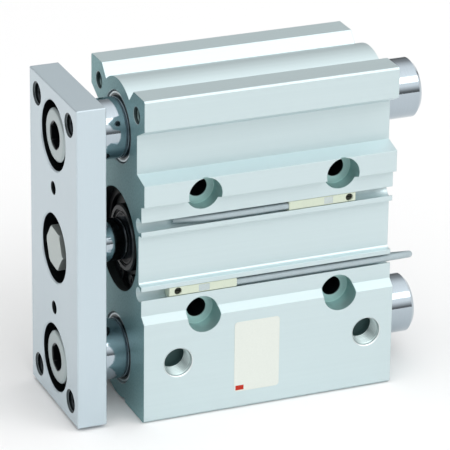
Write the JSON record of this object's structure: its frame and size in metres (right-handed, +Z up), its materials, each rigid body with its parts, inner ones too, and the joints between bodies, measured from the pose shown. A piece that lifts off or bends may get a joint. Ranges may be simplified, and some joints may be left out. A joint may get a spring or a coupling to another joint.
{
  "type": "guided pneumatic cylinder",
  "caption": "Compact guided pneumatic cylinder: extruded housing, piston rod between guide rods, end plate with tapped holes, side ports and slotted sensor switches.",
  "frame": {"origin": "middle of the object (without the free lead) on the surface that the housing stands on", "axes": "+Z up; -X the way the end plate moves out; -Y the side with the ports, sensor slots and label"},
  "size_m": [0.1254, 0.0811, 0.112],
  "materials": {
    "anodised_aluminium": "extruded aluminium, clear hard-anodised, fine satin with faint lines along the extrusion; cut ends a little darker",
    "cover_aluminium": "turned aluminium, natural anodised, fine lathe rings",
    "nitrile_rubber": "moulded black nitrile rubber, slightly greased",
    "bumper_urethane": "moulded dark urethane",
    "sintered_bush": "oil-impregnated sintered bronze",
    "phosphated_spring_steel": "spring steel, black phosphate, oiled",
    "bush_steel": "turned and ground bearing sleeve",
    "nickel_plated_steel": "machined flat steel, nickel plated, soft mirror sheen",
    "bolt_steel": "cold-headed steel, nickel plated",
    "hard_chrome": "ground shaft, hard chrome plated and polished",
    "piston_aluminium": "turned aluminium",
    "wear_resin": "filled resin wear ring",
    "bonded_magnet": "bonded ferrite ring",
    "switch_resin": "moulded cream resin, matt",
    "screw_steel": "small slotted steel screw",
    "window_grey": "smoked clear resin over an indicator lamp",
    "window_blue": "smoked clear resin over an indicator lamp, bluish",
    "lead_vinyl": "oil-resistant grey vinyl sheath",
    "tie_nylon": "natural nylon strap",
    "core_insulation": "vinyl core insulation: one brown, one blue, one black, with tinned ends",
    "label_film": "off-white satin film, blank apart from a small orange-red patch"
  },
  "bodies": {
    "housing": {"cylinder_body": "anodised_aluminium", "rod_cover": "cover_aluminium", "head_cover": "cover_aluminium", "rod_cover_gasket": "nitrile_rubber", "head_cover_gasket": "nitrile_rubber", "rod_seal": "nitrile_rubber", "front_bumper": "bumper_urethane", "rear_bumper": "bumper_urethane", "rod_bush": "sintered_bush", "front_retaining_ring": "phosphated_spring_steel", "rear_retaining_ring": "phosphated_spring_steel", "guide_bush_front_lower": "bush_steel", "guide_bush_front_upper": "bush_steel", "guide_bush_rear_lower": "bush_steel", "guide_bush_rear_upper": "bush_steel", "switch_upper_case": "switch_resin", "switch_lower_case": "switch_resin", "switch_upper_screw": "screw_steel", "switch_lower_screw": "screw_steel", "switch_upper_window": "window_grey", "switch_lower_window": "window_blue", "switch_upper_lead": "lead_vinyl", "switch_lower_lead": "lead_vinyl", "lower_lead_free": "lead_vinyl", "lower_lead_coil": "lead_vinyl", "lower_lead_tie": "tie_nylon", "lower_lead_cores": "core_insulation", "label": "label_film"},
    "ram": {"piston_seal": "nitrile_rubber", "end_plate": "nickel_plated_steel", "guide_rod_bolts": "bolt_steel", "piston_rod_bolt": "bolt_steel", "guide_rod_lower": "hard_chrome", "guide_rod_upper": "hard_chrome", "piston_rod": "hard_chrome", "piston": "piston_aluminium", "piston_wear_ring": "wear_resin", "piston_magnet": "bonded_magnet", "piston_nut": "bolt_steel"}
  },
  "joints": [
    {"name": "stroke", "type": "slide", "parent": "housing", "child": "ram", "axis": [-1, 0, 0], "range_m": [0, 0.05]}
  ]
}
